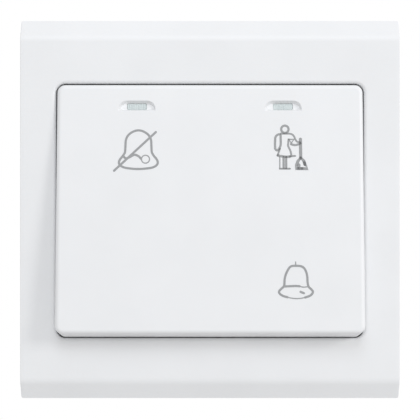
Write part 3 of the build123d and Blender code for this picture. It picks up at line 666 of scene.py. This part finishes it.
def crossed_bell():
    """A rounder bell struck through by a slanted line."""
    right_half = [
        (0.0, 4.45),
        (1.1, 4.2),
        (2.2, 3.45),
        (2.8, 2.35),
        (2.92, 0.9),
        (3.0, -0.4),
        (3.25, -1.0),
        (3.6, -1.5),
        (4.1, -2.1),
        (4.35, -2.7),
        (4.25, -3.25),
        (3.7, -3.75),
        (2.6, -4.1),
        (0.0, -4.32),
    ]
    rear_rim = [(-3.1, -1.3), (-2.4, -1.9), (-1.5, -1.6), (-0.5, -1.1), (0.4, -1.4), (1.0, -2.0)]
    slash = [(-5.05, -4.7), (4.3, 4.05)]
    return [
        stroke_mesh(mirrored(right_half, middle=0.4), STROKE, closed=True),
        stroke_mesh(rear_rim, STROKE),
        ring(centre=(2.0, -2.1), radius=0.9, width=FAINT_STROKE),
        line(slash, STROKE),
    ]


def cleaner():
    """A figure in an apron who holds a broom."""
    arm = [
        (-2.4, 2.75),
        (-2.9, 2.8),
        (-3.45, 2.3),
        (-3.58, 1.4),
        (-3.6, 0.0),
        (-3.5, -0.55),
        (-3.15, -0.8),
        (-2.75, -0.5),
        (-2.35, 0.4),
        (-2.33, 1.9),
    ]
    shoulders = [
        (-2.3, 3.0),
        (-1.3, 3.0),
        (-0.4, 3.0),
        (0.3, 2.8),
        (0.72, 2.3),
        (0.95, 1.75),
        (1.35, 1.2),
        (2.1, 1.0),
    ]
    sleeve = [(-0.5, 1.7), (0.65, 1.7), (0.05, 0.85)]
    forearm = [(0.0, 0.6), (0.8, 0.4), (1.4, 0.5), (2.1, 0.8)]
    apron_left = [(-2.5, -0.4), (-2.75, -1.1), (-3.0, -1.9)]
    apron_right = [(-0.55, 1.7), (-0.62, 1.0), (-0.65, 0.2), (-0.2, -0.8), (0.05, -1.8)]
    hem = [(-3.0, -1.95), (-2.2, -2.12), (-1.2, -2.25), (-0.2, -2.2)]
    hem_end = [(-0.3, -2.15), (0.9, -2.05)]
    soles = [(-2.55, -4.95), (-0.3, -4.95)]
    handle = [(2.12, 1.75), (2.15, -2.6)]
    broom = [(2.15, -2.4), (1.5, -3.3), (1.2, -4.2), (1.0, -4.9), (3.75, -4.95), (3.15, -4.1), (2.85, -3.2)]
    bristles = [((1.75, -4.1), (1.65, -4.9)), ((2.35, -4.6), (2.4, -4.9)), ((2.95, -3.6), (3.0, -4.2))]
    legs = [(-1.7, STROKE), (-1.12, STROKE), (-2.55, FAINT_STROKE), (-0.3, FAINT_STROKE)]
    return [
        ring(centre=(-1.37, 4.0), radius=0.83, width=STROKE),
        stroke_mesh(arm, STROKE, closed=True),
        stroke_mesh(shoulders, FINE_STROKE),
        stroke_mesh(sleeve, STROKE, closed=True, smooth=False),
        stroke_mesh(forearm, STROKE),
        stroke_mesh(apron_left, FINE_STROKE),
        stroke_mesh(apron_right, FINE_STROKE),
        stroke_mesh(hem, HEM_STROKE),
        line(hem_end, FINE_STROKE),
        line(soles, FINE_STROKE),
        line(handle, BOLD_STROKE),
        stroke_mesh(broom, BOLD_STROKE, closed=True, smooth=False),
        *[line(bristle, BOLD_STROKE) for bristle in bristles],
        *[line([(across, -2.3), (across, -4.8)], width) for across, width in legs],
    ]


def print_pictograms():
    """The three printed signs, each at its own place on the rocker."""
    ink = printed_ink()
    print_on_rocker("crossed_bell_print", crossed_bell(), CROSSED_BELL_PLACE, ink)
    print_on_rocker("cleaner_print", cleaner(), CLEANER_PLACE, ink)
    print_on_rocker("bell_print", bell(), BELL_PLACE, ink)


# Springs


def coil_mesh(node):
    """A compression spring in the space of its CAD node, with its end turns wound close."""
    low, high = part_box(node)
    middle = (low + high) / 2
    radius = (high.x - low.x) / 2 - WIRE_RADIUS
    length = high.y - low.y - 2 * WIRE_RADIUS
    close_rise = CLOSE_RISE * WIRE_RADIUS
    open_rise = (length - 2 * CLOSE_TURNS * close_rise) / (SPRING_TURNS - 2 * CLOSE_TURNS)
    made = bmesh.new()
    sections = []
    for step in range(SPRING_TURNS * TURN_STEPS + 1):
        turned = step / TURN_STEPS
        close_in = min(turned, CLOSE_TURNS)
        close_out = max(turned - (SPRING_TURNS - CLOSE_TURNS), 0)
        risen = (close_in + close_out) * close_rise + (turned - close_in - close_out) * open_rise
        angle = 2 * pi * turned
        outward = Vector((cos(angle), 0, sin(angle)))
        centre = Vector((middle.x, high.y - WIRE_RADIUS - risen, middle.z)) + outward * radius
        section = []
        for side in range(WIRE_SIDES):
            around = 2 * pi * side / WIRE_SIDES
            from_centre = outward * cos(around) + Vector((0, sin(around), 0))
            section.append(made.verts.new(centre + WIRE_RADIUS * from_centre))
        sections.append(section)
    for one, two in zip(sections, sections[1:]):
        for side in range(WIRE_SIDES):
            after = (side + 1) % WIRE_SIDES
            made.faces.new((one[side], one[after], two[after], two[side])).smooth = True
    made.faces.new(sections[0])
    made.faces.new(reversed(sections[-1]))
    bmesh.ops.recalc_face_normals(made, faces=made.faces)
    mesh = bpy.data.meshes.new(node)
    made.to_mesh(mesh)
    made.free()
    return mesh


def wind_springs():
    """The springs stand for their CAD nodes, wound at rest and riding on the housing."""
    for node, joint in (
        ("return_spring_left", "rocker_press"),
        ("return_spring_right", "rocker_press"),
        ("plunger_spring", "plunger_travel"),
    ):
        coil = new_piece(f"{node}_coil", coil_mesh(node), "housing", "spring_steel")
        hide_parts(node)
        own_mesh(coil)


# Studio


def pale_floor():
    """A plain pale floor below the plate, which fades out towards its rim."""
    made, tree, shader = material("floor")
    place = place_of(tree)
    tone = noise(tree, place, 60 * MM, detail=2.0)
    paint = colours(tree, tone, (0.80, 0.80, 0.80), (0.84, 0.84, 0.84))
    tree.links.new(paint, shader.inputs["Base Color"])
    shader.inputs["Roughness"].default_value = 0.8
    away = tree.nodes.new("ShaderNodeVectorMath")
    away.operation = "LENGTH"
    tree.links.new(stretched(tree, place, (1, 1, 0)), away.inputs[0])
    fade = between(tree, away.outputs["Value"], 1, 0, start=FLOOR_FADE_START, end=FLOOR_RADIUS)
    tree.links.new(fade, shader.inputs["Alpha"])
    disc = bmesh.new()
    rim = []
    for step in range(FLOOR_STEPS):
        angle = 2 * pi * step / FLOOR_STEPS
        rim.append(disc.verts.new((FLOOR_RADIUS * cos(angle), FLOOR_RADIUS * sin(angle), FLOOR_LEVEL)))
    disc.faces.new(rim)
    mesh = bpy.data.meshes.new("floor")
    disc.to_mesh(mesh)
    disc.free()
    floor = bpy.data.objects.new("floor", mesh)
    bpy.context.collection.objects.link(floor)
    floor.data.materials.append(made)


def white_room():
    """An even world that lights softly and shows as white behind the object and in its reflections."""
    world = bpy.data.worlds.new("room")
    bpy.context.scene.world = world
    world.use_nodes = True
    tree = world.node_tree
    background = tree.nodes["Background"]
    background.inputs["Color"].default_value = (1, 1, 1, 1)
    path = tree.nodes.new("ShaderNodeLightPath")
    seen = path.outputs["Is Camera Ray"]
    for name in ("Is Glossy Ray", "Is Transmission Ray"):
        most = tree.nodes.new("ShaderNodeMath")
        most.operation = "MAXIMUM"
        tree.links.new(seen, most.inputs[0])
        tree.links.new(path.outputs[name], most.inputs[1])
        seen = most.outputs[0]
    level = tree.nodes.new("ShaderNodeMapRange")
    level.inputs["To Min"].default_value = AMBIENT
    level.inputs["To Max"].default_value = 1.0
    tree.links.new(seen, level.inputs["Value"])
    tree.links.new(level.outputs["Result"], background.inputs["Strength"])


def soft_light(name, place, size, power, tint):
    """A round soft lamp that looks at the plate."""
    lamp = bpy.data.lights.new(name, "AREA")
    lamp.shape = "DISK"
    lamp.size = size
    lamp.energy = power
    lamp.color = tint
    holder = bpy.data.objects.new(name, lamp)
    holder.location = place
    holder.rotation_euler = (-Vector(place)).to_track_quat("-Z", "Y").to_euler()
    bpy.context.collection.objects.link(holder)


def photograph_view():
    """The camera stands square in front of the plate, as in the photograph."""
    plate_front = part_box("surround_frame")[0].y
    focal_pixels = PIXELS_PER_MM / MM * VIEW_DISTANCE
    camera = bpy.data.cameras.new("camera")
    camera.sensor_width = SENSOR_WIDTH
    camera.lens = focal_pixels * SENSOR_WIDTH / IMAGE_WIDTH
    camera.clip_start = CLIP_START
    camera.shift_x = focal_pixels * VIEW_LEFT_OF_CENTRE / VIEW_DISTANCE / IMAGE_WIDTH
    camera.shift_y = (PLATE_MIDDLE_ROW - IMAGE_WIDTH / 2) / IMAGE_WIDTH
    holder = bpy.data.objects.new("camera", camera)
    holder.location = (-VIEW_LEFT_OF_CENTRE, plate_front - VIEW_DISTANCE, 0)
    holder.rotation_euler = (radians(90), 0, 0)
    bpy.context.collection.objects.link(holder)
    bpy.context.scene.camera = holder


dress_nodes()
drafted_rocker()
crisp_surround()
print_pictograms()
wind_springs()
pale_floor()
white_room()
soft_light("key", place=(0.0, -0.62, 0.50), size=0.45, power=1.52, tint=(0.90, 0.94, 1.0))
soft_light("side", place=(1.1, -0.8, 0.45), size=0.5, power=5.75, tint=(1.0, 1.0, 1.0))
photograph_view()

bpy.context.scene.view_settings.view_transform = "Standard"
